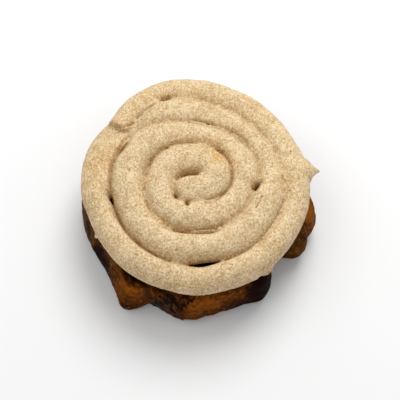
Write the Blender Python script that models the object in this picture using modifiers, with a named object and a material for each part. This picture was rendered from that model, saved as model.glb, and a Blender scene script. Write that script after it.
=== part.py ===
"""Frosted cinnamon roll: a strip of dough wound round a cinnamon filling, with a rope of frosting piped on top.

Run with: blender --background --python part.py
Units are metres in the scene; the sizes below are in millimetres, angles in degrees.
Azimuth 0 points along +X and grows anticlockwise seen from above; a winding angle is an azimuth that keeps counting
from turn to turn. Both coils wind outwards anticlockwise.
"""

import math

import bmesh
import bpy

MM = 0.001

# ------------------------------------------------------------------ driving sizes
COIL_AXIS = (-0.74, -3.51)  # the dough coil's own centre in the part's frame, whose origin is the middle of the box

# dome that the frosting sits on
DOME_CENTRE = (1.6, 3.0)  # from the coil's centre
DOME_TOP = 31.0
DOME_DROP = 6.0  # fall of the dome at DOME_RADIUS
DOME_RADIUS = 45.0
DOME_LEVEL_OUT = 1.6  # the fall stops growing at this many times DOME_DROP

# dough strip
DOUGH_PITCH = 11.5  # growth of the coil's outer face per turn
DOUGH_START = -204.0  # winding angle of the strip's inner end
DOUGH_TAIL = 1334.0  # winding angle of its outer end
TAIL_SLANT = (16.0, 1316.0)  # the end is cut at a slant: its foot rises by this much from this winding angle on
DOUGH_ZERO = -290.0  # winding angle at which the spiral's radius would be 0
DOUGH_SHELL = 46.2  # radius of the outermost layer before its lobes
DOUGH_RISE = (936.0, 966.0)  # where the spiral swells out to the outermost layer
DOUGH_BELOW_DOME = 0.9
WALL_LEAN = 2.0  # the outside draws in by this much towards its top
TAIL_LEAN = (4.5, 1305.0, 22.0)  # and by this much more round the tail (lean, winding angle, half width)
LAYER_GAP = 2.0  # room between two layers of dough, which the filling takes
CENTRE_HOLE = 0.6
COIL_STEP = 12.0  # winding angle between sections of the coil
CREASE_AT = 1046.5  # winding angle of the deepest crease, which gets more sections
CENTRE_TURN = 48.0  # over this angle the second layer closes over the strip's inner end
LOBES = (  # (winding angle, swell, half width) of the lobes and creases of the outermost layer
    (965.0, -1.7, 6.0),
    (982.0, 1.6, 7.0),
    (1004.0, -1.0, 10.0),
    (1025.0, 1.4, 7.0),
    (1046.5, -9.0, 5.5),
    (1060.0, 3.8, 6.5),
    (1076.5, 6.6, 10.0),
    (1180.0, 2.4, 30.0),
    (1250.0, 5.0, 20.0),
    (1311.0, 6.6, 10.5),
)

# filling
FILLING_THICK = 1.35
FILLING_LOW = 0.6  # its lower edge above the table
FILLING_BELOW_DOME = 2.6
SMEAR_FROM, SMEAR_END = 960.0, 983.0  # winding angles over which the filling thins out on the outside

# frosting rope: radius of its outer edge every 30 degrees, from winding angle -90
EDGE_STEP, EDGE_FROM = 30.0, -90.0
ROPE_EDGE = (
    9.1, 9.7, 11.9, 14.4, 16.3, 17.4, 17.5, 19.5, 21.9, 21.5, 21.7, 22.6,
    22.0, 22.0, 23.1, 25.2, 27.8, 27.5, 28.3, 33.3, 36.2, 35.8, 34.4, 34.2,
    34.0, 34.6, 36.0, 37.5, 37.0, 37.9, 42.0, 47.4, 51.2, 48.2, 45.1, 44.8,
    45.1, 45.3, 45.8, 47.8, 48.0, 51.1, 54.8, 55.6, 47.0,
)
# (x, y, width) of its middle line every 45 degrees over the first turn, where there is no turn inside it
INNER_STEP, INNER_FROM = 45.0, -180.0
INNER_PATH = (
    (-11.8, -4.4, 9.6), (-6.6, -3.1, 12.4), (-1.6, -2.5, 13.8), (3.8, -2.2, 13.4), (8.0, 1.2, 13.2),
    (7.9, 7.7, 13.4), (0.0, 11.8, 13.6), (-9.8, 9.8, 14.0), (-15.2, 0.0, 12.6), (-11.5, -11.5, 10.9),
    (0.0, -15.4, 12.5),
)
ROPE_START, ROPE_END = -158.0, 1221.0
OVERLAID_EDGE = 39.8  # the rope's last stretch is laid over the turn inside it, in to this radius
ROPE_CAP = (4.5, 2.0)  # lengths of its rounded inner and outer ends
# a tip of frosting drawn out at the side: (radius, azimuth, height) along its middle and its own radius there
TIP = ((41.0, 12.0, 29.0, 7.2), (46.4, 12.6, 28.8, 5.6), (50.0, 12.6, 27.6, 3.0), (53.8, 12.0, 26.0, 0.6))
HEART = (-3.5, 0.0)  # where the first turn closes on itself
HEART_PROFILE = ((9.6, 0.0), (9.6, 2.6), (8.2, 5.0), (5.0, 6.2))  # (radius, height) of the frosting there
ROPE_HEIGHT = 10.9
ROPE_SPREAD = 1.06  # the rope is this much wider than its spacing, so that the turns fuse
ROPE_STEP = 5.0  # winding angle between sections
ROPE_SIDES = 16
FUSE_VOXEL = 0.8  # grain of the mesh that fuses the turns
FUSE_KEEP = 0.062  # share of its triangles that are kept


# ------------------------------------------------------------------ small functions
def smooth_table(table, start, step, at):
    """The value at an angle of a smooth curve through a table's values, which are step degrees apart."""
    u = min(max((at - start) / step, 0.0), len(table) - 1.000001)
    i = int(u)
    t = u - i
    p = [table[min(max(k, 0), len(table) - 1)] for k in (i - 1, i, i + 1, i + 2)]
    a = 2 * p[1]
    b = p[2] - p[0]
    c = 2 * p[0] - 5 * p[1] + 4 * p[2] - p[3]
    d = 3 * p[1] - p[0] - 3 * p[2] + p[3]
    return 0.5 * (a + b * t + c * t * t + d * t * t * t)


def ease(x):
    x = min(max(x, 0.0), 1.0)
    return x * x * (3 - 2 * x)


def dome(x, y):
    """Height of the surface that the frosting rests on, at a point measured from the coil's centre."""
    away = ((x - DOME_CENTRE[0]) ** 2 + (y - DOME_CENTRE[1]) ** 2) / DOME_RADIUS**2
    return DOME_TOP - DOME_DROP * min(away, DOME_LEVEL_OUT)


def polar(radius, angle):
    a = math.radians(angle)
    return radius * math.cos(a), radius * math.sin(a)


def dough_edge(winding):
    """Radius of the dough's outer face at a winding angle."""
    spiral = DOUGH_PITCH * (min(winding, DOUGH_RISE[0]) - DOUGH_ZERO) / 360.0
    share = ease((winding - DOUGH_RISE[0]) / (DOUGH_RISE[1] - DOUGH_RISE[0]))
    shell = DOUGH_SHELL + sum(h * math.exp(-(((winding - a) / w) ** 2)) for a, h, w in LOBES)
    return spiral + (shell - spiral) * share


def wall_lean(winding):
    """How far the outer face draws in towards its top; the layers inside stand upright."""
    more, at, spread = TAIL_LEAN
    shown = ease((winding - DOUGH_RISE[0]) / (DOUGH_RISE[1] - DOUGH_RISE[0]))
    return shown * (WALL_LEAN + more * math.exp(-(((winding - at) / spread) ** 2)))


def rope_edge(winding):
    return smooth_table(ROPE_EDGE, EDGE_FROM, EDGE_STEP, winding)


def rope_station(winding):
    """The rope's middle line at a winding angle, from above, and its width there."""
    if winding < 270.0:
        return [smooth_table([row[k] for row in INNER_PATH], INNER_FROM, INNER_STEP, winding) for k in range(3)]
    outer, inner = rope_edge(winding), rope_edge(winding - 360.0)
    inner += ease((winding - 1180.0) / 38.0) * (OVERLAID_EDGE - inner)
    x, y = polar(0.5 * (outer + inner), winding)
    return [x, y, outer - inner]


def rope_lift(winding):
    """The rope's top dips where its own end is laid over it, and its end rides up on itself."""
    dip = -6.0 * (ease((winding - 832.0) / 26.0) if winding < 862.0 else 1 - ease((winding - 868.0) / 42.0))
    ride = 1.3 * ease((winding - 1185.0) / 30.0)
    return dip + ride


def round_end(away, length):
    """0 at a strip's end, growing round to 1 at the given length from it."""
    near = min(max(away / length, 0.0), 1.0)
    return math.sqrt(1 - (1 - near) ** 2)


def windings(start, stop, size):
    """Winding angles from start to stop that share one grid, so that layers lying on each other share their corners."""
    first, last = math.ceil(start / size), math.floor(stop / size)
    inside = [k * size for k in range(first, last + 1) if start + 0.1 < k * size < stop - 0.1]
    return [start] + inside + [stop]


# ------------------------------------------------------------------ sections
def dough_section(winding):
    """Corners of the dough strip's section, as (radius, height), anticlockwise seen against the winding."""
    outer = dough_edge(winding)
    below = winding - 360.0
    wrapped = ease((below - DOUGH_START + CENTRE_TURN) / CENTRE_TURN)  # 0 while nothing lies inside this layer yet
    inner = CENTRE_HOLE + wrapped * (dough_edge(max(below, DOUGH_START)) + LAYER_GAP - CENTRE_HOLE)
    tail = round_end(DOUGH_TAIL - winding, 6.0)
    thick = (outer - inner) * max(tail, 0.25)
    outer = inner + thick
    shown = ease((winding - DOUGH_RISE[0]) / (DOUGH_RISE[1] - DOUGH_RISE[0]))  # 1 on the layer that shows
    x, y = polar(0.5 * (inner + outer), winding)
    top = dome(x, y) - DOUGH_BELOW_DOME
    top -= (1 - tail) * 3.0
    foot_out = min(1.0 + 1.8 * shown, 0.3 * thick)
    foot_in = min(0.9, 0.3 * thick)
    lean = min(wall_lean(winding), 0.6 * thick)
    soft_out, soft_in = min(2.2 + 2.6 * shown, 0.42 * (thick - lean)), min(2.2, 0.42 * (thick - lean))
    back = 0.8 * wall_lean(below)  # the tail leans back with the wall that it lies against
    corners = (
        (inner + foot_in, 0.0),
        (outer - foot_out, 0.0),
        (outer - 0.25 * foot_out, 0.75 * foot_out + 0.4),
        (outer, 7.0),
        (outer - 0.4 * lean, 14.0),
        (outer - lean, top - soft_out),
        (outer - lean - 0.35 * soft_out, top - 0.28 * soft_out),
        (outer - lean - soft_out, top),
        (inner - back + soft_in, top),
        (inner - back + 0.3 * soft_in, top - 0.32 * soft_in),
        (inner - back, top - soft_in),
        (inner, 8.0),
        (inner, foot_in),
    )
    rise, rise_from = TAIL_SLANT
    low = rise * ease((winding - rise_from) / (DOUGH_TAIL - rise_from))
    return tuple((r, low + z * (top - low) / top) for r, z in corners)


def filling_section(winding):
    """The filling lies on the outer face of the dough inside it, and thins out where it is left bare."""
    bare = ease((winding - SMEAR_FROM) / (SMEAR_END - SMEAR_FROM))
    inner = dough_edge(winding) + 0.5 * (LAYER_GAP - FILLING_THICK)
    thick = FILLING_THICK * (1 - 0.6 * bare)
    x, y = polar(inner, winding)
    top = dome(x, y) - FILLING_BELOW_DOME - 2.2 * bare
    low = FILLING_LOW + 2.0 * bare
    lean = wall_lean(winding)
    return (
        (inner, low),
        (inner + thick, low),
        (inner + thick, 8.0),
        (inner + thick - 0.4 * lean, 14.0),
        (inner + thick - lean, top),
        (inner - lean, top),
        (inner - 0.4 * lean, 14.0),
        (inner, 8.0),
    )


def rope_rings():
    """The rope's sections, square to its middle line: flat underneath, round on top, leaning with the dome."""
    angles = windings(ROPE_START, ROPE_END, ROPE_STEP)
    stations = [rope_station(w) for w in angles]
    walked = [0.0]
    for (x0, y0, _), (x1, y1, _) in zip(stations, stations[1:]):
        walked.append(walked[-1] + math.hypot(x1 - x0, y1 - y0))
    rings = []
    for i, (winding, (x, y, width)) in enumerate(zip(angles, stations)):
        (xa, ya, _), (xb, yb, _) = stations[max(i - 1, 0)], stations[min(i + 1, len(stations) - 1)]
        along = math.hypot(xb - xa, yb - ya)
        nx, ny = (yb - ya) / along, -(xb - xa) / along  # points away from the coil's centre
        end = min(round_end(walked[i] + 0.1, ROPE_CAP[0]), round_end(walked[-1] - walked[i] + 0.1, ROPE_CAP[1]))
        width *= ROPE_SPREAD * (0.3 + 0.7 * end)
        height = (ROPE_HEIGHT * (width / 12.5) ** 0.35 + rope_lift(winding)) * (0.55 + 0.45 * end)
        height *= 1 - 0.12 * ease((winding - 1185.0) / 35.0)
        ring = []
        for k in range(ROPE_SIDES):
            f = 2 * math.pi * k / ROPE_SIDES
            c, s = math.cos(f), math.sin(f)
            n = 0.5 * width * math.copysign(abs(c) ** (0.9 if s > 0 else 0.4), c)
            z = 0.46 * height + (0.54 * height * s if s > 0 else -0.46 * height * abs(s) ** 0.5)
            px, py = x + n * nx, y + n * ny
            ring.append((px, py, dome(px, py) + z))
        rings.append(ring)
    return rings


def heart_rings():
    """The low mound where the first turn closes on itself."""
    rings = []
    for radius, height in HEART_PROFILE:
        ring = []
        for k in range(ROPE_SIDES):
            x, y = polar(radius, 360.0 * k / ROPE_SIDES)
            x, y = HEART[0] + x, HEART[1] + y
            ring.append((x, y, dome(x, y) + height))
        rings.append(ring)
    return rings


def tip_rings():
    """The drawn-out tip, its sections upright and square to the way that it points."""
    rings = []
    for radius, azimuth, height, own in TIP:
        ring = []
        for k in range(ROPE_SIDES):
            f = 2 * math.pi * k / ROPE_SIDES
            x, y = polar(radius, azimuth)
            nx, ny = polar(own * math.cos(f), azimuth + 90.0)
            ring.append((x + nx, y + ny, max(height + own * math.sin(f), dome(x + nx, y + ny))))
        rings.append(ring)
    return rings


def upright_rings(section, angles):
    """Sections given as (radius, height), each stood in the upright plane at its azimuth."""
    return [[(*polar(r, winding), z) for r, z in section(winding)] for winding in angles]


# ------------------------------------------------------------------ objects
def loft(name, strips, collection):
    """Closed strips, each through rings of points measured from the coil's centre, in one mesh."""
    points, faces = [], []
    for rings in strips:
        first, n = len(points), len(rings[0])
        points += [((COIL_AXIS[0] + x) * MM, (COIL_AXIS[1] + y) * MM, z * MM) for ring in rings for x, y, z in ring]
        for i in range(len(rings) - 1):
            for k in range(n):
                a, b = first + i * n + k, first + i * n + (k + 1) % n
                faces.append((a, a + n, b + n, b))
        faces.append(tuple(range(first, first + n)))
        faces.append(tuple(reversed(range(len(points) - n, len(points)))))
    mesh = bpy.data.meshes.new(name)
    mesh.from_pydata(points, [], faces)
    mesh.validate()
    mesh.shade_smooth()
    mesh.set_sharp_from_angle(angle=math.radians(50))
    obj = bpy.data.objects.new(name, mesh)
    collection.objects.link(obj)
    return obj


def give_material(obj, name, colour, roughness):
    material = bpy.data.materials.new(name)
    material.use_nodes = True
    shader = material.node_tree.nodes["Principled BSDF"]
    shader.inputs["Base Color"].default_value = (*colour, 1.0)
    shader.inputs["Roughness"].default_value = roughness
    shader.inputs["Metallic"].default_value = 0.0
    material.diffuse_color = (*colour, 1.0)
    obj.data.materials.append(material)


def fuse_turns(obj):
    """Fuses a rope's turns where they press together, and keeps the one body this makes."""
    fuse = obj.modifiers.new("Fuse", "REMESH")
    fuse.mode = "VOXEL"
    fuse.voxel_size = FUSE_VOXEL * MM
    soften = obj.modifiers.new("Soften", "SMOOTH")
    soften.factor = 0.5
    soften.iterations = 12
    thin = obj.modifiers.new("Thin", "DECIMATE")
    thin.decimate_type = "COLLAPSE"
    thin.ratio = FUSE_KEEP
    view = bpy.context.evaluated_depsgraph_get()
    fused = bpy.data.meshes.new_from_object(obj.evaluated_get(view), depsgraph=view)
    obj.modifiers.clear()

    work = bmesh.new()
    work.from_mesh(fused)
    left, pieces = set(work.verts), []
    while left:
        piece, edge = set(), [left.pop()]
        while edge:
            vert = edge.pop()
            piece.add(vert)
            near = {e.other_vert(vert) for e in vert.link_edges} & left
            left -= near
            edge += near
        pieces.append(piece)
    pieces.sort(key=len)
    for crumb in pieces[:-1]:
        bmesh.ops.delete(work, geom=list(crumb), context="VERTS")
    work.to_mesh(fused)
    work.free()
    fused.shade_smooth()
    fused.name = obj.name
    obj.data = fused


def main():
    for obj in list(bpy.data.objects):
        bpy.data.objects.remove(obj, do_unlink=True)
    collection = bpy.data.collections.new("cinnamon_roll")
    bpy.context.scene.collection.children.link(collection)

    inside = windings(DOUGH_START, DOUGH_RISE[0], COIL_STEP)
    swell = windings(DOUGH_RISE[0], SMEAR_FROM, COIL_STEP / 2)
    shell = windings(SMEAR_FROM, DOUGH_TAIL - 6.0, COIL_STEP / 2)
    crease = [CREASE_AT + s for s in (-8.0, -4.0, -2.0, 2.0, 4.0, 8.0)]
    tip = [DOUGH_TAIL - s for s in (4.2, 2.6, 1.3, 0.4)]
    dough = loft(
        "dough_roll", [upright_rings(dough_section, sorted(set(inside + swell + shell + crease)) + tip)], collection
    )
    give_material(dough, "baked_dough", (0.17, 0.075, 0.02), 0.6)

    smear = windings(SMEAR_FROM, SMEAR_END, COIL_STEP / 2)
    swirl = windings(DOUGH_START + COIL_STEP, DOUGH_RISE[0], COIL_STEP)
    filling = loft(
        "cinnamon_filling", [upright_rings(filling_section, sorted(set(swirl + swell + smear)))], collection
    )
    give_material(filling, "cinnamon_filling", (0.03, 0.012, 0.006), 0.35)

    frosting = loft("frosting", [rope_rings(), heart_rings(), tip_rings()], collection)
    give_material(frosting, "cinnamon_frosting", (0.72, 0.52, 0.31), 0.55)
    fuse_turns(frosting)


main()
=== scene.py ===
"""Looks of the frosted cinnamon roll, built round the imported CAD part.

Sizes are in millimetres and angles in degrees, except where a mesh, a light or the camera is made, which is in metres.
A winding angle is an azimuth that keeps counting from turn to turn; both coils wind outwards anticlockwise.
"""

import math

import bmesh
import bpy
import numpy as np
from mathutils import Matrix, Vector, noise


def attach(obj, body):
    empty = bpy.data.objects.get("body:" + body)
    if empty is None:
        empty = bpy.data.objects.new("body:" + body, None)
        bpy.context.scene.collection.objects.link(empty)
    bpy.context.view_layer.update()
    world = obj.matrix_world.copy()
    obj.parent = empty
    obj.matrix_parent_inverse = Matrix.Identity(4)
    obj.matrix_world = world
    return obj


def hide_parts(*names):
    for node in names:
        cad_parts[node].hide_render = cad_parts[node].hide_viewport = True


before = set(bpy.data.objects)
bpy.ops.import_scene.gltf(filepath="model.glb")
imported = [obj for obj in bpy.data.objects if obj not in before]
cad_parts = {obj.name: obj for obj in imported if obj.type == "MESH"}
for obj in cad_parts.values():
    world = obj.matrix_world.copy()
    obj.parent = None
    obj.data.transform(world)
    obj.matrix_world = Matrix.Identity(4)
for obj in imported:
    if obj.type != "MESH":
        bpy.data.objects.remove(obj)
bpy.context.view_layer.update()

MM = 0.001
AXIS = np.array([-0.74, -3.51])  # the coil's own centre

# ------------------------------------------------------------------ camera
ELEVATION = 65.0
CAM = np.array([0.90, -155.39, 346.27])
LOOK = np.array([0.0, math.cos(math.radians(ELEVATION)), -math.sin(math.radians(ELEVATION))])
UP = np.array([0.0, math.sin(math.radians(ELEVATION)), math.cos(math.radians(ELEVATION))])
FRAME_SIZE, FOCAL = 400, 837.2

camera_data = bpy.data.cameras.new("camera")
camera_data.sensor_width = 36.0
camera_data.lens = FOCAL * camera_data.sensor_width / FRAME_SIZE
camera_data.clip_start, camera_data.clip_end = 0.02, 20.0
camera = bpy.data.objects.new("camera", camera_data)
camera.location = CAM * MM
camera.rotation_euler = (math.radians(90 - ELEVATION), 0, 0)
bpy.context.scene.collection.objects.link(camera)
bpy.context.scene.camera = camera


def in_frame(points):
    """Where points fall in the camera's 400 by 400 frame."""
    rel = points - CAM
    depth = rel @ LOOK
    return np.stack([FRAME_SIZE / 2 + FOCAL * rel[:, 0] / depth, FRAME_SIZE / 2 - FOCAL * (rel @ UP) / depth], 1)


def spot(seen, px, py, rx, ry=None, turn=0.0):
    """1 in the middle of a patch of the frame, falling to 0 round it."""
    t = math.radians(turn)
    dx, dy = seen[:, 0] - px, seen[:, 1] - py
    u = dx * math.cos(t) + dy * math.sin(t)
    v = -dx * math.sin(t) + dy * math.cos(t)
    return np.exp(-((u / rx) ** 2) - (v / (ry or rx)) ** 2)


# ------------------------------------------------------------------ small functions
def through(table, start, step, at):
    """Values of a smooth curve through a table's values, which are step apart."""
    table = np.asarray(table, float)
    u = np.clip((np.asarray(at, float) - start) / step, 0, len(table) - 1.000001)
    i = u.astype(int)
    t = u - i
    p = [table[np.clip(i + k, 0, len(table) - 1)] for k in (-1, 0, 1, 2)]
    return 0.5 * (
        2 * p[1]
        + (p[2] - p[0]) * t
        + (2 * p[0] - 5 * p[1] + 4 * p[2] - p[3]) * t * t
        + (3 * p[1] - p[0] - 3 * p[2] + p[3]) * t**3
    )


def ease(x):
    x = np.clip(x, 0, 1)
    return x * x * (3 - 2 * x)


def bells(at, rows):
    """Sum of bells given as (centre, height, half width)."""
    return sum(h * np.exp(-(((at - c) / w) ** 2)) for c, h, w in rows)


def round_end(away, length):
    near = np.clip(away / length, 0, 1)
    return np.sqrt(1 - (1 - near) ** 2)


DOME_CENTRE = (1.6, 3.0)


def dome(x, y):
    """Height of the surface that the frosting rests on."""
    away = ((x - DOME_CENTRE[0]) ** 2 + (y - DOME_CENTRE[1]) ** 2) / 45.0**2
    return 31.0 - 6.0 * np.minimum(away, 1.6)


def perlin(points, size, seed=0.0):
    """Smooth noise from about -1 to 1 whose lumps are about size mm wide."""
    s = 1.0 / size
    return np.array([noise.noise(Vector((x * s + seed, y * s - 2.7 * seed, z * s + 1.3 * seed))) for x, y, z in points])


def srgb(r, g, b):
    """A colour given as it looks on a screen, 0 to 255, as a linear colour."""
    return tuple(((c / 255) / 12.92 if c <= 10 else ((c / 255 + 0.055) / 1.055) ** 2.4) for c in (r, g, b)) + (1.0,)


def grid_faces(first, rings, n):
    """Quads of a closed strip with n corners a ring, and its two end caps."""
    i, k = np.meshgrid(np.arange(rings - 1), np.arange(n), indexing="ij")
    a = first + i * n + k
    b = first + i * n + (k + 1) % n
    quads = np.stack([a, a + n, b + n, b], -1).reshape(-1, 4).tolist()
    ends = [list(range(first, first + n)), list(range(first + rings * n - 1, first + (rings - 1) * n - 1, -1))]
    return quads + ends


def strips_mesh(name, strips):
    """A mesh of closed strips, each an array of rings by corners by xyz, in mm from the coil's centre."""
    points, faces, first = [], [], 0
    for rings in strips:
        rings = np.asarray(rings, float)
        faces += grid_faces(first, rings.shape[0], rings.shape[1])
        flat = rings.reshape(-1, 3)
        points.append(flat)
        first += len(flat)
    points = np.concatenate(points)
    points[:, :2] += AXIS
    mesh = bpy.data.meshes.new(name)
    mesh.from_pydata((points * MM).tolist(), [], faces)
    mesh.update()
    return mesh


def corners(mesh):
    co = np.empty(len(mesh.vertices) * 3, np.float32)
    mesh.vertices.foreach_get("co", co)
    return co.reshape(-1, 3).astype(float) / MM


def normals(mesh):
    no = np.empty(len(mesh.vertices) * 3, np.float32)
    mesh.vertex_normals.foreach_get("vector", no)
    return no.reshape(-1, 3).astype(float)


def put_corners(mesh, points):
    mesh.vertices.foreach_set("co", (points * MM).astype(np.float32).ravel())
    mesh.update()


def put_value(mesh, name, values):
    layer = mesh.attributes.new(name, "FLOAT", "POINT")
    layer.data.foreach_set("value", values.astype(np.float32))


class Relax:
    """Moves each corner of a mesh towards the middle of its neighbours."""

    def __init__(self, mesh):
        ends = np.empty(len(mesh.edges) * 2, np.int32)
        mesh.edges.foreach_get("vertices", ends)
        self.a, self.b = ends.reshape(-1, 2).T
        self.n = len(mesh.vertices)
        self.count = np.maximum(np.bincount(self.a, minlength=self.n) + np.bincount(self.b, minlength=self.n), 1)

    def middle(self, values):
        out = np.empty_like(values)
        for k in range(values.shape[1]):
            v = values[:, k]
            out[:, k] = np.bincount(self.a, v[self.b], self.n) + np.bincount(self.b, v[self.a], self.n)
        return out / self.count[:, None]

    def run(self, points, times, share=0.5):
        """share is how far a corner goes, one number or one a corner."""
        share = np.broadcast_to(np.asarray(share, float), (self.n,))[:, None]
        for _ in range(times):
            points = points + share * (self.middle(points) - points)
        return points


def evaluated(mesh, name, kind, groups=(), **settings):
    """A mesh after one modifier."""
    obj = bpy.data.objects.new(name, mesh)
    bpy.context.scene.collection.objects.link(obj)
    for group, weight in groups:
        layer = obj.vertex_groups.new(name=group)
        level = np.round(weight * 4).astype(int)
        for k in range(5):
            layer.add(np.nonzero(level == k)[0].tolist(), k / 4, "REPLACE")
    m = obj.modifiers.new(kind, kind)
    for key, value in settings.items():
        setattr(m, key, value)
    view = bpy.context.evaluated_depsgraph_get()
    made = bpy.data.meshes.new_from_object(obj.evaluated_get(view), depsgraph=view)
    bpy.data.objects.remove(obj)
    bpy.data.meshes.remove(mesh)
    made.name = name
    return made


def keep_largest(mesh):
    """Takes away the crumbs that a remesh leaves, and keeps the one body."""
    relax = Relax(mesh)
    label = np.arange(relax.n)
    while True:
        low = label.copy()
        np.minimum.at(low, relax.a, label[relax.b])
        np.minimum.at(low, relax.b, label[relax.a])
        low = low[low]
        if (low == label).all():
            break
        label = low
    names, sizes = np.unique(label, return_counts=True)
    if len(names) > 1:
        work = bmesh.new()
        work.from_mesh(mesh)
        work.verts.ensure_lookup_table()
        crumbs = np.nonzero(label != names[sizes.argmax()])[0]
        bmesh.ops.delete(work, geom=[work.verts[i] for i in crumbs], context="VERTS")
        work.to_mesh(mesh)
        work.free()
    return mesh


def show(mesh, name):
    mesh.shade_smooth()
    obj = bpy.data.objects.new(name, mesh)
    bpy.context.scene.collection.objects.link(obj)
    return obj


# ------------------------------------------------------------------ frosting: the piped rope
EDGE_FROM, EDGE_STEP = -90.0, 15.0
ROPE_EDGE = (  # radius of the rope's outer edge every 15 degrees of winding angle
    9.1, 9.3, 9.7, 10.6, 11.9, 13.3, 14.4, 15.2, 16.3, 17.2, 17.4, 17.3,
    17.5, 18.2, 19.5, 21.0, 21.9, 22.0, 21.5, 21.5, 21.7, 21.7, 22.6, 22.4,
    22.0, 22.2, 22.0, 22.4, 23.1, 23.4, 25.2, 27.2, 27.8, 27.7, 27.5, 27.5,
    28.3, 30.4, 33.3, 36.0, 36.2, 36.4, 35.8, 35.0, 34.4, 34.1, 34.2, 34.3,
    34.0, 33.8, 34.6, 35.8, 36.0, 36.8, 37.5, 37.0, 37.0, 37.4, 37.9, 39.6,
    42.0, 44.6, 47.6, 50.9, 52.0, 50.5, 48.2, 45.9, 45.1, 45.0, 44.8, 44.5,
    45.1, 44.8, 45.3, 45.4, 45.8, 46.8, 47.8, 48.4, 48.0, 49.2, 51.1, 52.7,
    54.8, 56.5, 54.7, 51.2, 49.4,
)
INNER_FROM, INNER_STEP = -180.0, 45.0
INNER_PATH = (  # (x, y, width) of its middle line over the first turn
    (-11.8, -4.4, 9.6), (-6.6, -3.1, 12.4), (-1.6, -2.5, 13.8), (3.8, -2.2, 13.4), (8.0, 1.2, 13.2),
    (7.9, 7.7, 13.4), (0.0, 11.8, 13.6), (-9.8, 9.8, 14.0), (-15.2, 0.0, 12.6), (-11.5, -11.5, 10.9),
    (0.0, -15.4, 12.5),
)
ROPE_START, ROPE_END = -158.0, 1221.0
ROPE_HEIGHT = 10.9
PRESSED = 0.2  # how far the turns press into each other
PRESS_MORE = (  # (winding angle of the groove, more or less pressing, half width)
    (-80.0, 0.8, 45.0),
    (245.0, 0.4, 28.0),
    (358.0, -1.5, 4.0),
    (518.0, -0.55, 20.0),
    (548.0, -0.75, 4.2),
    (563.0, -0.45, 10.0),
    (592.0, -0.3, 16.0),
    (635.4, -1.4, 12.0),
    (827.0, -0.6, 3.2),
    (745.0, 0.5, 50.0),
)


def rope_edge(w):
    return through(ROPE_EDGE, EDGE_FROM, EDGE_STEP, w)


def rope_stations(w):
    """Middle line, and half widths inwards and outwards, at winding angles."""
    a = np.radians(w)
    outer, inner = rope_edge(w), rope_edge(w - 360.0)
    over = ease((w - 1180.0) / 38.0)  # the last stretch is laid over the turn inside it
    inner = inner + over * (39.8 - inner)
    radius = 0.5 * (outer + inner)
    x, y, width = radius * np.cos(a), radius * np.sin(a), outer - inner
    early = w < 270.0
    for k, out in enumerate((x, y, width)):
        out[early] = through([row[k] for row in INNER_PATH], INNER_FROM, INNER_STEP, w[early])
    press_out = np.where(w < 850.0, PRESSED + bells(w, PRESS_MORE), 0.0)
    press_in = np.where(w > 262.0, PRESSED + bells(w - 360.0, PRESS_MORE), PRESSED)
    press_in = np.where(w > 1180.0, PRESSED, press_in)
    return x, y, 0.5 * width + press_in, 0.5 * width + press_out


def rope_strip():
    w = np.arange(ROPE_START, ROPE_END + 0.01, 1.5)
    x, y, half_in, half_out = rope_stations(w)
    walked = np.concatenate([[0], np.cumsum(np.hypot(np.diff(x), np.diff(y)))])
    tx, ty = np.gradient(x), np.gradient(y)
    long = np.hypot(tx, ty)
    nx, ny = ty / long, -tx / long
    end = np.minimum(round_end(walked + 0.1, 4.6), round_end(walked[-1] - walked + 0.1, 1.3))
    squeeze = 0.3 + 0.7 * end
    half_in, half_out = half_in * squeeze, half_out * squeeze
    width = half_in + half_out
    # low where the rope's other end is laid over it
    lift = -5.8 * np.where(w < 862.0, ease((w - 832.0) / 26.0), 1 - ease((w - 868.0) / 42.0))
    lift += 1.3 * ease((w - 1185.0) / 30.0)
    lift += 0.35 * np.sin(np.radians(w * 1.7 + 40)) + 0.2 * np.sin(np.radians(w * 4.3))
    height = (ROPE_HEIGHT * (width / 12.9) ** 0.35 + lift) * (0.55 + 0.45 * end)
    height *= 1 - 0.12 * ease((w - 1185.0) / 35.0)
    f = np.linspace(0, 2 * np.pi, 64, endpoint=False)
    c, s = np.cos(f), np.sin(f)
    across = np.where(s > 0, np.sign(c) * np.abs(c) ** 0.92, np.sign(c) * np.abs(c) ** 0.5)
    rise = np.where(s > 0, 0.46 + 0.54 * np.abs(s), 0.46 - 0.46 * np.abs(s) ** 0.55)
    reach = np.where(across[None, :] > 0, half_out[:, None], half_in[:, None])
    px = x[:, None] + across[None, :] * reach * nx[:, None]
    py = y[:, None] + across[None, :] * reach * ny[:, None]
    pz = dome(px, py) + rise[None, :] * height[:, None]
    return np.stack([px, py, pz], -1)


def mound(at, profile, sides=48):
    """A low round mound: rings of (radius, height)."""
    f = np.linspace(0, 2 * np.pi, sides, endpoint=False)
    rings = []
    for radius, height in profile:
        px, py = at[0] + radius * np.cos(f), at[1] + radius * np.sin(f)
        rings.append(np.stack([px, py, dome(px, py) + height], -1))
    return np.array(rings)


def tube(points, radii, flat=1.0, sides=28):
    """A round tube through points whose radius changes; flat squeezes it in height."""
    points, radii = np.asarray(points, float), np.asarray(radii, float)
    u = np.linspace(0, len(points) - 1, 8 * (len(points) - 1) + 1)
    path = np.stack([through(points[:, k], 0, 1, u) for k in range(3)], 1)
    radius = through(radii, 0, 1, u)
    along = np.gradient(path, axis=0)
    along /= np.linalg.norm(along, axis=1)[:, None]
    side = np.cross(along, [0, 0, 1.0])
    side /= np.linalg.norm(side, axis=1)[:, None]
    over = np.cross(side, along)
    f = np.linspace(0, 2 * np.pi, sides, endpoint=False)
    ring = side[:, None, :] * np.cos(f)[None, :, None] + flat * over[:, None, :] * np.sin(f)[None, :, None]
    return path[:, None, :] + ring * radius[:, None, None]


def at(radius, azimuth, z):
    a = math.radians(azimuth)
    return (radius * math.cos(a), radius * math.sin(a), z)


VOXEL = 0.41
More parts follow.
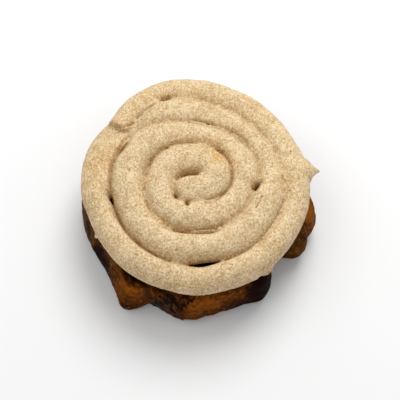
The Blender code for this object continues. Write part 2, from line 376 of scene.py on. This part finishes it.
# the drawn-out tip on the right
tip = tube([at(41, 11.4, 29.0), at(46.4, 11.6, 28.8), at(50.0, 11.8, 27.6), at(54.2, 11.6, 26.2)], (8.8, 6.8, 3.1, 0.6))
tip[..., 2] = np.maximum(tip[..., 2], dome(tip[..., 0], tip[..., 1]))
rope = strips_mesh(
    "frosting_rope",
    [
        rope_strip(),
        mound((-3.5, 0.0), ((9.6, 0.0), (9.6, 2.6), (8.2, 5.0), (5.0, 6.4), (1.0, 6.6))),
        tip,
        # the lip squeezed out under the front right edge
        tube(
            [at(43.4, -88, 26.0), at(43.0, -77, 25.4), at(42.9, -66, 25.2), at(43.2, -57, 25.2), at(44.5, -49, 25.2), at(43.6, -42, 26.0)],
            (0.9, 1.0, 1.1, 1.3, 1.8, 0.9),
            flat=0.7,
        ),
        # a dab that hangs over the left edge
        tube([at(43.6, -155, 26.0), at(45.0, -155.5, 25.0), at(45.8, -156, 23.8)], (1.6, 1.3, 0.7)),
    ],
)
rope = evaluated(rope, "frosting_rope", "REMESH", mode="VOXEL", voxel_size=VOXEL * MM)
rope = keep_largest(rope)
# The underside lies on the dough and needs fewer corners.
hidden = ease((-normals(rope)[:, 2] - 0.25) / 0.3)
rope = evaluated(
    rope, "frosting_rope", "DECIMATE", groups=(("hidden", hidden),), ratio=0.46, vertex_group="hidden", vertex_group_factor=4.0
)

relax = Relax(rope)
points = relax.run(corners(rope), 3, 0.5)
put_corners(rope, points)
smooth = relax.run(points, 6, 0.5)
joint = ease(np.einsum("ij,ij->i", smooth - points, normals(rope)) / 0.12)
points = relax.run(points, 1, 0.5 * joint)  # the joints between the turns run together a little

# Grooves that have flowed together are softened more.
seen = in_frame(points)
local = points[:, :2] - AXIS
radius = np.hypot(local[:, 0], local[:, 1])
azimuth = np.degrees(np.arctan2(local[:, 1], local[:, 0]))
above = points[:, 2] - dome(local[:, 0], local[:, 1])
top_side = ease((above - 3.0) / 2.0)
soft = np.clip(
    spot(seen, 286, 168, 10, 26)
    + 0.9 * spot(seen, 266, 130, 18, 10, 45)
    + 0.5 * spot(seen, 203, 204, 14, 4, -10)
    + 0.7 * spot(seen, 192, 92, 14, 6, 5),
    0,
    1,
)
points = relax.run(points, 23, 0.5 * soft * top_side)

# The surface is never quite even, and its lower rim is ragged.
put_corners(rope, points)
out = normals(rope)
uneven = 0.42 * perlin(points, 11.0, 3.1) + 0.14 * perlin(points, 4.2, 7.7) + 0.06 * perlin(points, 1.7, 1.9)
rim = ease((radius - 41.5) / 3.0) * ease((3.4 - above) / 2.4) * (0.35 + 0.65 * ease((35 - np.abs(azimuth + 62)) / 20))
ragged = 0.65 * perlin(points, 2.6, 4.4) + 0.3 * perlin(points, 1.1, 6.6)
points = points + out * (uneven * (0.25 + 0.75 * top_side) + ragged * rim)[:, None]
seen = in_frame(points)


def press(line, deep, wide):
    """Presses a line of the frame, given by its points, into the top of the frosting."""
    line = np.asarray(line, float)
    if len(line) == 1:
        line = np.concatenate([line, line + 0.01])
    best = np.full(len(points), 1e9)
    for p, q in zip(line, line[1:]):
        d = q - p
        t = np.clip(((seen - p) @ d) / max(d @ d, 1e-9), 0, 1)
        best = np.minimum(best, np.hypot(*(seen - p - t[:, None] * d).T))
    return -deep * np.exp(-((best / wide) ** 2)) * ease(above / 2.0)


def wound(turns):
    """The frame points of a line given by azimuths and radii from the coil's centre, in the frosting's joints."""
    azimuth, radius = np.asarray(turns, float).T
    at = np.arange(azimuth[0], azimuth[-1] + 0.1, 4.0)
    radius = np.interp(at, azimuth, radius)
    x, y = radius * np.cos(np.radians(at)), radius * np.sin(np.radians(at))
    return in_frame(np.stack([AXIS[0] + x, AXIS[1] + y, dome(x, y) + 6.5], 1))


down = (
    press(wound([(-160, 34.8), (-130, 34.0), (-106, 34.3)]), 0.9, 1.1)
    + press(wound([(-70, 34.4), (-60, 34.5), (-30, 35.0), (-10, 36.5)]), 1.0, 1.1)
    + press(wound([(140, 37.5), (155, 38.0), (179, 36.0)]), 0.8, 1.1)
    + press(wound([(-160, 21.9), (-118, 22.6), (-100, 21.2), (-85, 20.0), (-60, 20.9)]), 0.8, 1.1)
    + press(wound([(76, 30.2), (82, 30.5), (92, 31.2)]), 0.6, 1.1)
    + press(wound([(-60, 8.5), (-30, 10.8), (-5, 13.9), (15, 15.5), (30, 16.8), (60, 18.4)]), 0.8, 1.1)
    + press(wound([(90, 19.0), (107, 20.0), (125, 21.8), (135, 22.4)]), 0.7, 1.1)
    + press([(162, 99), (151, 105), (142.5, 111), (137, 118)], 1.6, 1.1)
    + press([(127.5, 143.5), (123, 147.5), (119, 151), (115, 158.5), (112, 167), (110.6, 177), (110.2, 188)], 1.5, 1.2)
    + press([(122, 148.5), (117.5, 154)], 1.6, 1.4)
    + press([(112, 124.6), (117, 126.6), (122, 127), (128, 125.4), (133, 123)], 1.1, 0.9)
    + press([(112, 200), (114, 207), (116.5, 213), (120, 222), (126, 232), (134, 240.5)], 1.2, 1.0)
    + press([(113, 203), (117, 213)], 1.0, 1.1)
    + press([(167, 147.5), (160, 151), (153, 158), (148.5, 167), (146, 176)], 0.9, 1.0)
    + press([(196, 119.5), (208.5, 123.3), (222, 127), (236, 133.5), (247, 142)], 0.55, 1.0)
    + press([(177, 177.5), (182, 174.4), (188, 172.4), (197, 172.2)], 3.0, 2.0)
    + press([(205, 202.5), (213, 201), (219, 197.5), (226, 191.5), (231, 184), (231.6, 172), (229.5, 162), (224, 153.5), (216, 149)], 1.2, 1.2)
    + press([(176.2, 195.4)], 3.0, 2.0)
    + press([(187.2, 202.6)], 3.2, 2.1)
    + press([(175.8, 250.2), (178, 249)], 0.9, 1.1)
    + press([(129, 170)], 0.8, 1.6)
    + press([(246, 162)], 0.8, 1.4)
    + press([(251.8, 147)], 0.7, 1.3)
    + press([(247, 152.5)], 0.6, 1.3)
    + press([(228, 141)], 0.6, 1.2)
    + press([(208.5, 123)], 1.2, 1.5)
    + press([(225.5, 167), (226, 173)], 0.6, 1.2)
    + press([(257.6, 185), (255.6, 188.6)], 2.6, 1.5)
    + press([(110, 194), (110.5, 199)], 1.2, 1.9)
    + press([(163.5, 99.3), (169, 97.8)], 1.5, 1.5)
    + press([(262, 195), (259.5, 201), (256, 207)], 0.8, 1.4)
    + press([(283, 178), (285, 181)], 0.8, 1.2)
    + press([(299, 177), (299.5, 180)], 0.5, 1.2)
    + press([(136, 242), (142, 247), (149, 251), (158, 256)], 1.0, 1.1)
    + press([(168, 147)], 0.9, 1.4)
    + press([(118, 151), (121, 147)], 0.8, 1.5)
    + press([(188, 229.6), (194, 228.5), (202, 227.8), (210, 227.8), (217, 228.6)], 1.0, 0.8)
    + press([(174, 230), (180, 231.6), (190, 232.6), (202, 233), (211, 232.6), (217.5, 230.4)], 1.1, 0.9)
    + press([(255, 203), (257.5, 197)], 0.7, 1.1)
    + press([(234, 99), (246, 105), (257, 113)], 0.5, 1.5)
    + press([(241, 97), (254, 104)], 0.4, 1.3)
    + press([(254, 124), (266, 138)], 0.5, 1.4)
)
points[:, 2] += down
points = relax.run(points, 1, 0.27)
put_corners(rope, points)

# Painted shade in the grooves, the broad valleys, on the sides and the lower rim, and tinted patches, which the
# material reads
out = normals(rope)
smooth = relax.run(points, 15, 0.5)
# painted shade: how deep each corner lies in a groove, which the material darkens
hollow_shade = np.einsum("ij,ij->i", smooth - points, out)
put_value(rope, "hollow_shade", np.clip(hollow_shade / 0.4, -1, 1))
# painted shade: the same over the broader valleys between the turns
valley_shade = np.einsum("ij,ij->i", relax.run(smooth, 54, 0.5) - points, out)
put_value(rope, "valley_shade", np.clip(valley_shade / 0.9, -1, 1) * top_side)
# painted shade: the sides and the lower outer rim, which face away from the light, are darkened
rim = ease((radius - 43.0) / 5.0) * ease((6.0 - above) / 5.0)
put_value(rope, "side", np.clip((0.85 - relax.run(out, 4, 0.5)[:, 2]) / 0.6 + 0.5 * rim, 0, 1))
seen = in_frame(points)
# golden patches: partly a tint of the frosting, partly painted shade at the upper left, under the rope's laid-over end
# and on the low turn beneath it
golden = (
    1.1 * spot(seen, 221, 156, 14, 10, 30)
    + 1.3 * spot(seen, 101, 157, 14, 11, -20)
    + 0.5 * spot(seen, 136, 101, 38, 12, -36)
    + 0.3 * spot(seen, 196, 99, 34, 17)
    + 0.4 * spot(seen, 196, 158, 28, 9, 6)
    + 0.55 * spot(seen, 92, 178, 10, 24, 5)
    + 0.8 * spot(seen, 121, 147, 7, 6)
    + 0.5 * spot(seen, 262, 110, 24, 12, 40)
    + 0.6 * spot(seen, 283, 178, 9, 11)
    + 0.5 * spot(seen, 156, 217, 10, 5, 30)
    # painted shadow under the rope's laid-over end
    + 0.4 * spot(seen, 118, 122, 14, 6, -25)
    + 0.8 * spot(seen, 122, 128, 10, 3, 10)
    + 0.35 * spot(seen, 196, 138, 24, 5)
    + 0.3 * spot(seen, 262, 244, 16, 8, -35)
)
put_value(rope, "golden", np.clip(golden, 0, 1) * (0.4 + 0.6 * top_side))
# painted shade: the frosting over the back and the left of the roll is darkened
back_left_shade = spot(seen, 185, 104, 65, 24, -8) + spot(seen, 96, 168, 20, 42, 8)
put_value(rope, "back_left_shade", np.clip(back_left_shade, 0, 1))
frosting = show(rope, "frosting_rope")

# ------------------------------------------------------------------ dough and filling
PITCH, COIL_START, COIL_TAIL, COIL_ZERO = 11.5, -204.0, 1335.0, -290.0
SHELL, RISE = 46.2, (936.0, 966.0)
GAP, HOLE, CENTRE_TURN = 2.0, 0.6, 48.0
LOBES = (  # (winding angle, swell, half width) of the lobes and creases of the outermost layer
    (965.0, -1.7, 6.0),
    (982.0, 1.6, 7.0),
    (1004.0, -1.0, 10.0),
    (1025.0, 1.4, 7.0),
    (1047.0, -9.4, 5.8),
    (1061.0, 4.6, 6.2),
    (1065.5, -2.1, 1.7),
    (1084.0, 7.2, 15.0),
    (1180.0, 2.4, 30.0),
    (1250.0, 5.0, 20.0),
    (1313.2, 6.4, 8.8),
    (1325.5, -3.0, 3.6),
)
WALL_FROM, WALL_STEP = 894.0, 6.0
WALL_MORE = (  # extra radius of the outer wall every 6 degrees, from the left round the front to the right
    0.0, 0.4, 1.0, 1.8, 1.9, 1.3, 0.8, 1.2, 1.6, 0.4, 0.6, -0.5, -0.7, -1.2, -0.2, 1.0,
    2.1, 1.7, 1.4, 1.3, 0.7, 0.6, 1.2, 0.2, -2.4, -1.7, -2.2, 0.4, -0.8, 2.0, 1.8, -1.3,
    -4.3, -5.0, -4.6, -2.5, 0.0,
)
SMEAR_FROM, SMEAR_END = 952.0, 984.0


def coil_edge(w):
    spiral = PITCH * (np.minimum(w, RISE[0]) - COIL_ZERO) / 360.0
    turn = w - 360.0 if w >= 1254.0 else w  # the tail carries on where the table begins
    shell = SHELL + bells(w, LOBES)
    if WALL_FROM <= turn <= WALL_FROM + WALL_STEP * (len(WALL_MORE) - 1):
        shell += float(through(WALL_MORE, WALL_FROM, WALL_STEP, turn))
    return float(spiral + (shell - spiral) * ease((w - RISE[0]) / (RISE[1] - RISE[0])))


def wall_lean(w):
    return float(ease((w - RISE[0]) / (RISE[1] - RISE[0])) * (2.0 + 4.5 * np.exp(-(((w - 1305.0) / 22.0) ** 2))))


def coil_strip(w, around, section):
    """Rings of a coil's strip, their corners spaced evenly round the section."""
    rings = []
    for wi in w:
        a = math.radians(wi)
        ring = np.array(section(wi), float)
        for _ in range(2):  # cuts the corners round
            after = np.roll(ring, -1, axis=0)
            ring = np.stack([0.75 * ring + 0.25 * after, 0.25 * ring + 0.75 * after], 1).reshape(-1, 2)
        loop = np.concatenate([ring, ring[:1]])
        run = np.concatenate([[0], np.cumsum(np.hypot(*np.diff(loop, axis=0).T))])
        u = np.linspace(0, run[-1], around, endpoint=False)
        r, z = np.interp(u, run, loop[:, 0]), np.interp(u, run, loop[:, 1])
        rings.append(np.stack([r * math.cos(a), r * math.sin(a), z], -1))
    return np.array(rings)


def dough_section(w):
    outer = coil_edge(w)
    below = w - 360.0
    wrapped = float(ease((below - COIL_START + CENTRE_TURN) / CENTRE_TURN))
    inner = HOLE + wrapped * (coil_edge(max(below, COIL_START)) + GAP - HOLE)
    inner -= 0.3 * wrapped  # the baked dough closes on the filling
    tail = float(ease((COIL_TAIL - w) / 10.0))
    thick = (outer - inner) * max(tail, 0.1)
    outer = inner + thick
    back = wall_lean(below) * float(ease((w - 1254.0) / 20.0))  # the tail lies against the leaning wall inside it
    low = 22.0 * float(ease((w - 1320.0) / 14.0))  # and its end is cut at a slant
    shown = float(ease((w - RISE[0]) / (RISE[1] - RISE[0])))
    a = math.radians(w)
    mid = 0.5 * (inner + outer)
    top = float(dome(mid * math.cos(a), mid * math.sin(a))) - 0.35 - (1 - tail) * 2.0
    lean = min(wall_lean(w), 0.6 * thick)
    soft_out, soft_in = min(2.2 + 2.6 * shown, 0.42 * (thick - lean)), min(2.2, 0.42 * (thick - lean))
    foot_out = min(1.0 + 1.8 * shown, 0.3 * thick)
    foot_in = min(0.9, 0.3 * thick)
    ring = np.array(
        (
            (inner + foot_in, 0.0),
            (outer - foot_out, 0.0),
            (outer - 0.25 * foot_out, 0.75 * foot_out + 0.4),
            (outer, 7.0),
            (outer - 0.4 * lean, 14.0),
            (outer - lean, top - soft_out),
            (outer - lean - 0.35 * soft_out, top - 0.28 * soft_out),
            (outer - lean - soft_out, top),
            (inner - back + soft_in, top),
            (inner - back + 0.3 * soft_in, top - 0.32 * soft_in),
            (inner - back, top - soft_in),
            (inner, 8.0),
            (inner, foot_in),
        )
    )
    ring[:, 1] = low + ring[:, 1] * (top - low) / top
    return ring


def filling_section(w):
    bare = float(ease((w - SMEAR_FROM) / 20.0))
    fade = float(1 - ease((w - SMEAR_END + 12.0) / 12.0))
    inner = coil_edge(w) - 0.5 * bare
    thick = 0.5 * bare + (1.9 - 0.6 * bare) * (0.15 + 0.85 * fade)
    a = math.radians(w)
    top = float(dome(inner * math.cos(a), inner * math.sin(a))) - 1.6 - 1.0 * bare
    low = 0.35 + 0.5 * bare
    lean = wall_lean(w)
    return (
        (inner, low),
        (inner + 0.6 * thick, low),
        (inner + thick, 3.5),
        (inner + thick, 8.0),
        (inner + thick - 0.4 * lean, 14.0),
        (inner + thick - lean, top - 4.0),
        (inner + 0.3 * thick - lean - 1.5 * bare, top),
        (inner - lean - 1.5 * bare, top),
        (inner - 0.4 * lean, 14.0),
        (inner, 8.0),
    )


coarse, fine = ((5.0, 1.0))
AROUND = 112
w_rings = np.concatenate(
    [np.arange(COIL_START, RISE[0], coarse), np.arange(RISE[0], COIL_TAIL - 1.0, fine), COIL_TAIL - np.array([0.6, 0.2, 0.02])]
)
coil = strips_mesh("dough_coil", [coil_strip(w_rings, AROUND, dough_section)])
points = corners(coil)
out = normals(coil)
local = points[:, :2] - AXIS
radius = np.hypot(local[:, 0], local[:, 1])
azimuth = np.degrees(np.arctan2(local[:, 1], local[:, 0]))
outward = np.einsum("ij,ij->i", out[:, :2], local) / np.maximum(radius, 1e-6)
w_all = np.repeat(w_rings, AROUND)
wall = ease((outward - 0.1) / 0.4) * (w_all > 957.0)
lumps = 0.75 * perlin(points, 11.0, 5.5) + 0.32 * perlin(points, 4.4, 2.2) + 0.12 * perlin(points, 1.6, 8.1)
knob = np.exp(-(((azimuth + 20.0) / 9.0) ** 2))  # the small knob at the front right is crumbly
lumps += knob * (0.35 * perlin(points, 2.4, 1.2) + 0.2 * perlin(points, 1.2, 3.2))
wrinkle = perlin(points * np.array([1.0, 1.0, 0.5]), 3.2, 12.0)
lumps -= 0.35 * np.exp(-((wrinkle / 0.12) ** 2)) * ease((perlin(points, 14.0, 21.0) + 0.1) / 0.4)
points = points + out * (lumps * wall)[:, None]
under = ease((-out[:, 2] - 0.5) / 0.4)
points[:, 2] += under * (0.25 + 0.3 * perlin(points, 7.0, 4.0) + 0.12 * perlin(points, 2.5, 9.0)).clip(0, 1)
points[:, 2] = np.maximum(points[:, 2], 0.0)
put_corners(coil, points)
relax = Relax(coil)
out = normals(coil)
# painted shade: how deep each corner lies in a crease of the dough, which the material darkens
hollow_shade = np.einsum("ij,ij->i", relax.run(points, 12, 0.5) - points, out)
put_value(coil, "hollow_shade", np.clip(hollow_shade / 0.3, -1, 1))
seen = in_frame(points)
# darker patches at the front right corner, along the left edge, round the filling and between the curls at the front
dark_patches = wall * (
    1.6 * spot(seen, 268, 288, 20, 20)
    + 0.7 * spot(seen, 240, 308, 22, 9)
    + 1.2 * spot(seen, 170, 303, 14, 9, 30)
    + 0.8 * spot(seen, 186, 296, 7, 4, 20)
    + 0.9 * spot(seen, 98, 250, 6, 5, 50)
    + 1.0 * spot(seen, 104, 262, 5, 12, -35)
    + 0.7 * spot(seen, 88, 225, 4, 22, -8)
    + 0.5 * spot(seen, 128, 309, 14, 5)
    + 0.6 * spot(seen, 137, 283, 14, 4, 35)
    + 0.7 * spot(seen, 110, 286, 4, 16, -20)
    + 0.9 * spot(seen, 183.5, 305, 1.2, 4.5, 25)
    + 0.9 * spot(seen, 188.0, 303, 1.1, 5.0, 28)
    + 0.9 * spot(seen, 193.0, 300, 1.1, 4.0, 32)
    + 0.7 * spot(seen, 303, 238.5, 6, 1.6, 10)
)
golden = wall * (
    1.0 * spot(seen, 134, 290, 13, 8, 20)
    + 0.7 * spot(seen, 119, 283, 5, 8)
    + 1.0 * spot(seen, 196, 307, 10, 9)
    + 0.7 * spot(seen, 212, 303, 10, 7)
    + 1.0 * spot(seen, 310, 216, 6, 15)
    + 0.4 * spot(seen, 232, 297, 14, 5, -15)
    + 0.5 * spot(seen, 160, 296, 8, 4, 20)
)
olive = wall * (spot(seen, 90, 225, 5, 22, -12) + spot(seen, 113, 262, 6, 8, -35) + spot(seen, 297, 248, 10, 9))
for name, values in (("dark_patches", dark_patches), ("golden", golden), ("olive", olive)):
    put_value(coil, name, np.clip(values, 0, 1))
dough = show(coil, "dough_coil")

FILL_AROUND = 100
w_fill = np.concatenate([np.arange(COIL_START + 12.0, 930.0, coarse), np.arange(930.0, SMEAR_END, 0.8 * fine)])
sheet = strips_mesh("filling_swirl", [coil_strip(w_fill, FILL_AROUND, filling_section)])
points = corners(sheet)
out = normals(sheet)
shown = ease((np.repeat(w_fill, FILL_AROUND) - 950.0) / 10.0)
lumps = 0.55 * perlin(points, 3.2, 6.0) + 0.4 * perlin(points, 1.5, 2.0) + 0.3 * perlin(points, 7.0, 1.0)
w_here = np.repeat(w_fill, FILL_AROUND)
shown *= 1 - ease((w_here - 978.0) / 5.0)
points = points + out * (lumps * (0.1 + 0.9 * shown))[:, None]
sunk = ease((w_here - 966.0) / 14.0) * ease(points[:, 2] / 3.0)  # its end sinks into the dough unevenly
local = points[:, :2] - AXIS
local /= np.linalg.norm(local, axis=1)[:, None]
points[:, :2] -= local * (sunk * (0.9 + 2.4 * perlin(points, 3.6, 17.0)).clip(-0.5, 2.4))[:, None]
points[:, 2] = np.maximum(points[:, 2], 0.05)
put_corners(sheet, points)
filling = show(sheet, "filling_swirl")


# ------------------------------------------------------------------ materials
class Shade:
    """A Principled material whose patterns are in millimetres of the object."""

    def __init__(self, name):
        self.material = bpy.data.materials.new(name)
        self.material.use_nodes = True
        self.tree = self.material.node_tree
        self.surface = self.tree.nodes["Principled BSDF"]
        self.where = self.add("ShaderNodeTexCoord").outputs["Object"]

    def add(self, kind, **settings):
        node = self.tree.nodes.new(kind)
        for key, value in settings.items():
            setattr(node, key, value)
        return node

    def put(self, socket, value):
        if isinstance(value, bpy.types.NodeSocket):
            self.tree.links.new(value, socket)
        else:
            socket.default_value = value

    def noise(self, size, detail=2.0, rough=0.5, twist=0.0, stretch=None):
        where = self.where
        if stretch:
            mapping = self.add("ShaderNodeMapping")
            self.put(mapping.inputs["Vector"], where)
            mapping.inputs["Scale"].default_value = stretch
            where = mapping.outputs["Vector"]
        node = self.add("ShaderNodeTexNoise")
        self.put(node.inputs["Vector"], where)
        node.inputs["Scale"].default_value = 1000.0 / size
        node.inputs["Detail"].default_value = detail
        node.inputs["Roughness"].default_value = rough
        node.inputs["Distortion"].default_value = twist
        return node.outputs[0]

    def cells(self, size):
        node = self.add("ShaderNodeTexVoronoi")
        self.put(node.inputs["Vector"], self.where)
        node.inputs["Scale"].default_value = 1000.0 / size
        return node.outputs["Distance"], node.outputs["Color"]

    def part(self, colour, channel):
        node = self.add("ShaderNodeSeparateColor")
        self.put(node.inputs[0], colour)
        return node.outputs[channel]

    def math(self, kind, a, b=0.0, c=0.0):
        node = self.add("ShaderNodeMath", operation=kind)
        for socket, value in zip(node.inputs, (a, b, c)):
            self.put(socket, value)
        return node.outputs[0]

    def span(self, value, low, high, to_low=0.0, to_high=1.0):
        node = self.add("ShaderNodeMapRange", interpolation_type="SMOOTHSTEP")
        self.put(node.inputs["Value"], value)
        for key, number in (("From Min", low), ("From Max", high), ("To Min", to_low), ("To Max", to_high)):
            node.inputs[key].default_value = number
        return node.outputs[0]

    def mix(self, share, a, b):
        node = self.add("ShaderNodeMix", data_type="RGBA")
        self.put(node.inputs[0], share)
        self.put(node.inputs[6], a)
        self.put(node.inputs[7], b)
        return node.outputs[2]

    def scaled(self, value, by):
        return self.math("MULTIPLY", value, by)

    def value(self, name):
        return self.add("ShaderNodeAttribute", attribute_name=name).outputs["Fac"]

    def bump(self, height, strength, distance_mm, under=None):
        node = self.add("ShaderNodeBump")
        self.put(node.inputs["Height"], height)
        node.inputs["Strength"].default_value = strength
        node.inputs["Distance"].default_value = distance_mm * MM
        if under is not None:
            self.put(node.inputs["Normal"], under)
        return node.outputs["Normal"]

    def specks(self, size, radius, share, edge=0.5):
        """1 on specks of about the given radius in cells, on a share of the cells; each has its own size and strength."""
        distance, colour = self.cells(size)
        there = self.math("LESS_THAN", self.part(colour, 0), share)
        own = self.math("MULTIPLY_ADD", self.part(colour, 1), 0.6, 0.55)
        dot = self.span(self.math("DIVIDE", distance, own), radius * (1 + edge), radius * (1 - edge))
        strength = self.math("MULTIPLY_ADD", self.part(colour, 2), 0.6, 0.4)
        return self.math("MULTIPLY", self.math("MULTIPLY", dot, there), strength)


def frosting_material():
    s = Shade("cinnamon_frosting")
    tone = s.mix(s.span(s.noise(9.0, 3.0), 0.35, 0.65), srgb(222, 196, 151), srgb(211, 182, 135))
    # golden patches, partly painted shade at the upper left
    patch = s.math("MULTIPLY", s.value("golden"), s.span(s.noise(4.0, 3.0, 0.6), 0.3, 0.65, 0.4, 1.0))
    tone = s.mix(s.scaled(patch, 0.85), tone, srgb(209, 161, 78))
    # painted shade over the back and the left
    tone = s.mix(s.scaled(s.value("back_left_shade"), 0.3), tone, srgb(190, 160, 112))
    # painted shade on the sides and the lower rim
    tone = s.mix(s.scaled(s.value("side"), 0.5), tone, srgb(164, 120, 70))
    # painted shade in the broad valleys
    tone = s.mix(s.scaled(s.span(s.value("valley_shade"), 0.0, 0.9), 0.5), tone, srgb(190, 152, 96))
    # painted shade in the grooves
    tone = s.mix(s.scaled(s.span(s.value("hollow_shade"), 0.05, 0.7), 0.75), tone, srgb(158, 114, 62))
    tone = s.mix(s.scaled(s.span(s.noise(3.6, 2.0, 0.5), 0.46, 0.62), 0.3), tone, srgb(250, 230, 196))
    tone = s.mix(s.scaled(s.span(s.noise(4.3, 2.0, 0.5, 0.4), 0.50, 0.66), 0.3), tone, srgb(186, 152, 96))
    tone = s.mix(s.scaled(s.span(s.noise(0.95, 2.0, 0.6), 0.44, 0.62), 0.6), tone, srgb(246, 227, 190))
    tone = s.mix(s.scaled(s.span(s.noise(0.7, 2.0, 0.6), 0.49, 0.64), 0.6), tone, srgb(164, 126, 80))
    tone = s.mix(s.scaled(s.specks(1.1, 0.3, 0.6), 0.6), tone, srgb(150, 108, 66))
    tone = s.mix(s.scaled(s.specks(1.9, 0.18, 0.35), 0.65), tone, srgb(128, 86, 48))
    tone = s.mix(s.scaled(s.specks(4.2, 0.11, 0.35, 0.35), 0.85), tone, srgb(92, 56, 28))
    s.put(s.surface.inputs["Base Color"], tone)
    s.put(s.surface.inputs["Roughness"], s.span(s.noise(2.2, 3.0, 0.6), 0.3, 0.7, 0.5, 0.66))
    s.surface.inputs["Specular IOR Level"].default_value = 0.2
    s.surface.inputs["Subsurface Weight"].default_value = 0.25
    s.surface.inputs["Subsurface Radius"].default_value = (1.0, 0.6, 0.3)
    s.surface.inputs["Subsurface Scale"].default_value = 0.002
    grain = s.bump(s.noise(0.75, 3.0, 0.65), 0.4, 0.10)
    s.put(s.surface.inputs["Normal"], s.bump(s.noise(2.6, 3.0, 0.6), 0.4, 0.22, grain))
    return s.material


def dough_material():
    s = Shade("baked_dough")
    tone = s.mix(s.span(s.noise(7.0, 4.0, 0.6, 0.4), 0.36, 0.64), srgb(54, 26, 8), srgb(94, 49, 12))
    tone = s.mix(s.scaled(s.value("olive"), 0.8), tone, srgb(90, 60, 20))
    golden = s.math("MULTIPLY", s.value("golden"), s.span(s.noise(3.0, 3.0, 0.6), 0.3, 0.62, 0.35, 1.0))
    tone = s.mix(s.scaled(golden, 0.8), tone, srgb(156, 86, 18))
    streaks = s.noise(1.7, 4.0, 0.65, 0.3, stretch=(1.0, 1.0, 0.6))
    tone = s.mix(s.scaled(s.span(streaks, 0.52, 0.68), 0.5), tone, srgb(164, 98, 28))
    tone = s.mix(s.scaled(s.span(streaks, 0.49, 0.33), 0.55), tone, srgb(46, 19, 3))
    # darker patches, near-black where strongest
    dark_share = s.math("ADD", s.value("dark_patches"), s.span(s.noise(3.0, 4.0, 0.65), 0.3, 0.7, -0.25, 0.25))
    tone = s.mix(s.scaled(s.span(dark_share, 0.15, 0.85), 0.96), tone, srgb(21, 7, 4))
    # painted shade in the dough's creases
    tone = s.mix(s.scaled(s.span(s.value("hollow_shade"), 0.1, 0.9), 0.6), tone, srgb(30, 13, 5))
    tone = s.mix(s.scaled(s.specks(2.4, 0.2, 0.4), 0.45), tone, srgb(28, 12, 5))
    s.put(s.surface.inputs["Base Color"], tone)
    s.put(s.surface.inputs["Roughness"], s.span(s.noise(3.5, 3.0, 0.6), 0.35, 0.65, 0.4, 0.62))
    s.surface.inputs["Specular IOR Level"].default_value = 0.006
    grain = s.bump(s.noise(0.8, 4.0, 0.65), 0.45, 0.15)
    s.put(s.surface.inputs["Normal"], s.bump(s.noise(2.8, 4.0, 0.6, 0.5), 0.5, 0.45, grain))
    return s.material


def filling_material():
    s = Shade("cinnamon_filling")
    tone = s.mix(s.span(s.noise(2.8, 4.0, 0.6, 0.5), 0.44, 0.66), srgb(26, 10, 4), srgb(92, 47, 14))
    s.put(s.surface.inputs["Base Color"], tone)
    s.put(s.surface.inputs["Roughness"], s.span(s.noise(1.6, 3.0, 0.6), 0.3, 0.7, 0.3, 0.55))
    s.surface.inputs["Specular IOR Level"].default_value = 0.04
    s.put(s.surface.inputs["Normal"], s.bump(s.noise(0.9, 4.0, 0.65), 0.5, 0.22))
    return s.material


for obj, material, node, slot in (
    (frosting, frosting_material(), "frosting", "cinnamon_frosting"),
    (dough, dough_material(), "dough_roll", "baked_dough"),
    (filling, filling_material(), "cinnamon_filling", "cinnamon_filling"),
):
    obj.data.materials.clear()
    obj.data.materials.append(material)
    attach(obj, "root")
    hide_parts(node)

# ------------------------------------------------------------------ floor and light
floor_mesh = bpy.data.meshes.new("floor")
floor_mesh.from_pydata([(-3, -3, 0), (3, -3, 0), (3, 3, 0), (-3, 3, 0)], [], [(0, 1, 2, 3)])
floor = bpy.data.objects.new("floor", floor_mesh)
floor.location.z = -0.00002
bpy.context.scene.collection.objects.link(floor)
white = bpy.data.materials.new("floor_white")
white.use_nodes = True
white.node_tree.nodes["Principled BSDF"].inputs["Base Color"].default_value = (0.93, 0.93, 0.93, 1)
white.node_tree.nodes["Principled BSDF"].inputs["Roughness"].default_value = 0.9
white.node_tree.nodes["Principled BSDF"].inputs["Specular IOR Level"].default_value = 0.1
floor_mesh.materials.append(white)

world = bpy.data.worlds.new("studio")
bpy.context.scene.world = world
world.use_nodes = True
world.node_tree.nodes["Background"].inputs["Color"].default_value = (1.0, 1.0, 1.0, 1)
world.node_tree.nodes["Background"].inputs["Strength"].default_value = 0.55


def soft_light(name, location, size, power, aim=(0, 0, 0.02), colour=(1, 1, 1)):
    data = bpy.data.lights.new(name, "AREA")
    data.shape = "DISK"
    data.size = size
    data.energy = power
    data.color = colour
    light = bpy.data.objects.new(name, data)
    light.location = location
    light.rotation_euler = (Vector(aim) - Vector(location)).to_track_quat("-Z", "Y").to_euler()
    bpy.context.scene.collection.objects.link(light)


soft_light("key", (0.14, 0.39, 0.64), 0.45, 3.35)
soft_light("fill", (-0.45, 0.05, 0.75), 0.6, 0.9)

bpy.context.scene.view_settings.view_transform = "Standard"
bpy.context.scene.view_settings.look = "None"
